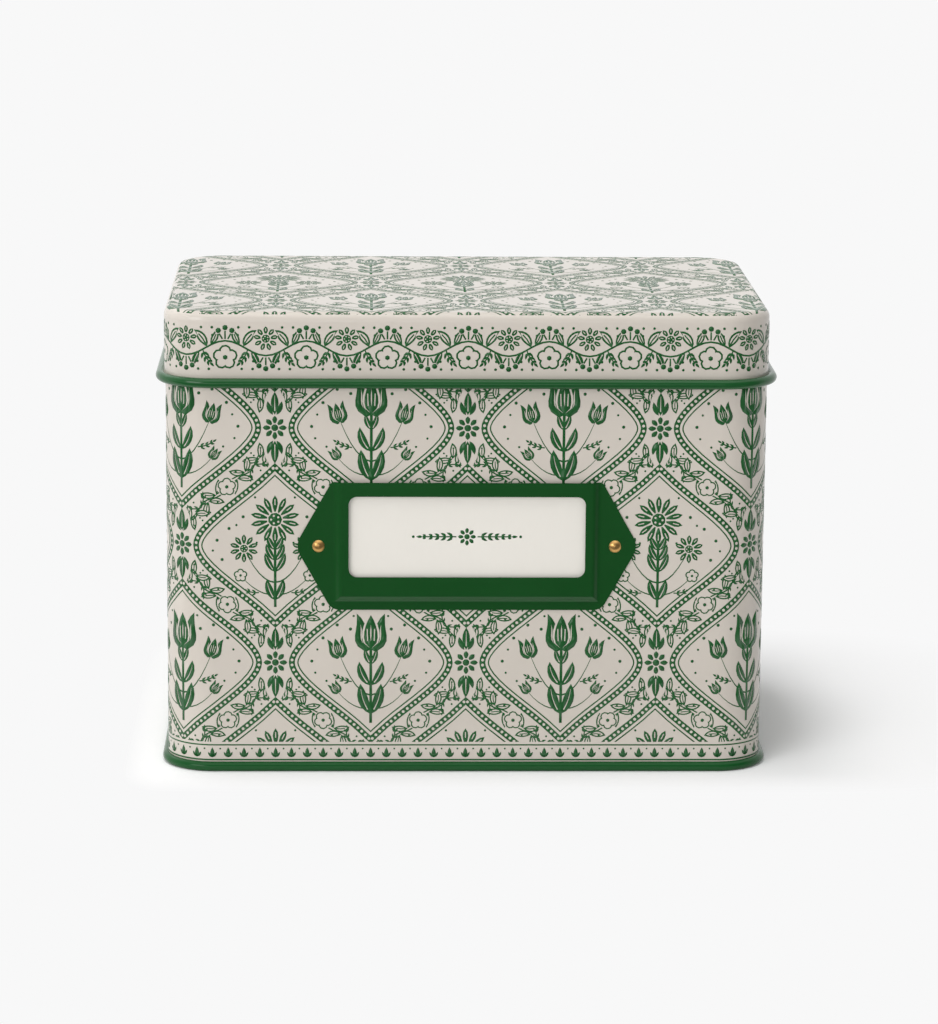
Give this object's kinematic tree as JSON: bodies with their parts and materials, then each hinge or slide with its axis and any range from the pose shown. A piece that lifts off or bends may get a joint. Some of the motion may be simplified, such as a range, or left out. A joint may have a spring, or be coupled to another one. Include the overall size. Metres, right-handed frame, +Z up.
{
  "type": "recipe box",
  "caption": "Tinplate recipe box with a hinged beaded lid, a framed label on its front, and tabbed dividers with recipe cards inside.",
  "frame": {"origin": "middle of the base, on the surface that the box stands on", "axes": "+X to the right seen from the front, +Y to the hinge at the back, +Z up"},
  "size_m": [0.1764, 0.1174, 0.1327],
  "materials": {
    "printed_lacquer": "satin cream lacquer with green line print, on tinplate",
    "green_lacquer": "satin green lacquer on tinplate",
    "green_enamel": "satin dark green enamel on stamped steel",
    "tinned_steel": "bright tin plate",
    "brass": "polished brass",
    "label_paper": "matt off-white card",
    "divider_board": "matt cream index board",
    "card_paper": "matt white card stock"
  },
  "bodies": {
    "case": {"body_wall": "printed_lacquer", "base_panel": "green_lacquer", "hinge_strap_left": "tinned_steel", "hinge_strap_right": "tinned_steel", "hinge_rivets": "tinned_steel", "label_holder": "green_enamel", "label_rivets": "brass"},
    "lid": {"lid": "printed_lacquer", "hinge_wire": "tinned_steel"},
    "label_card": {"label_card": "label_paper"},
    "section_1": {"divider_1": "divider_board", "recipe_cards_1": "card_paper"},
    "section_2": {"divider_2": "divider_board", "recipe_cards_2": "card_paper"},
    "section_3": {"divider_3": "divider_board", "recipe_cards_3": "card_paper"},
    "section_4": {"divider_4": "divider_board", "recipe_cards_4": "card_paper"},
    "section_5": {"divider_5": "divider_board", "recipe_cards_5": "card_paper"},
    "section_6": {"divider_6": "divider_board", "recipe_cards_6": "card_paper"}
  },
  "joints": [
    {"name": "lid_hinge", "type": "hinge", "parent": "case", "child": "lid", "pos_m": [0, 0.05735, 0.1128], "axis": [-1, 0, 0], "range_deg": [0, 110]},
    {"name": "label_card_slide", "type": "slide", "parent": "case", "child": "label_card", "axis": [0, 0, 1], "range_m": [0, 0.027]},
    {"name": "section_1_lean", "type": "hinge", "parent": "case", "child": "section_1", "pos_m": [0, 0.00225, 0.0036], "axis": [1, 0, 0], "range_deg": [0, 31]},
    {"name": "section_2_lean", "type": "hinge", "parent": "case", "child": "section_2", "pos_m": [0, 0.01125, 0.0036], "axis": [1, 0, 0], "range_deg": [0, 25.84]},
    {"name": "section_3_lean", "type": "hinge", "parent": "case", "child": "section_3", "pos_m": [0, 0.02025, 0.0036], "axis": [1, 0, 0], "range_deg": [0, 20.68]},
    {"name": "section_4_lean", "type": "hinge", "parent": "case", "child": "section_4", "pos_m": [0, 0.02925, 0.0036], "axis": [1, 0, 0], "range_deg": [0, 15.51]},
    {"name": "section_5_lean", "type": "hinge", "parent": "case", "child": "section_5", "pos_m": [0, 0.03825, 0.0036], "axis": [1, 0, 0], "range_deg": [0, 10.34]},
    {"name": "section_6_lean", "type": "hinge", "parent": "case", "child": "section_6", "pos_m": [0, 0.04725, 0.0036], "axis": [1, 0, 0], "range_deg": [0, 5.18]}
  ],
  "couplings": [
    {"joint": "section_2_lean", "follows": "section_1_lean", "ratio": 0.83333},
    {"joint": "section_3_lean", "follows": "section_1_lean", "ratio": 0.66667},
    {"joint": "section_4_lean", "follows": "section_1_lean", "ratio": 0.5},
    {"joint": "section_5_lean", "follows": "section_1_lean", "ratio": 0.33333},
    {"joint": "section_6_lean", "follows": "section_1_lean", "ratio": 0.16667}
  ]
}
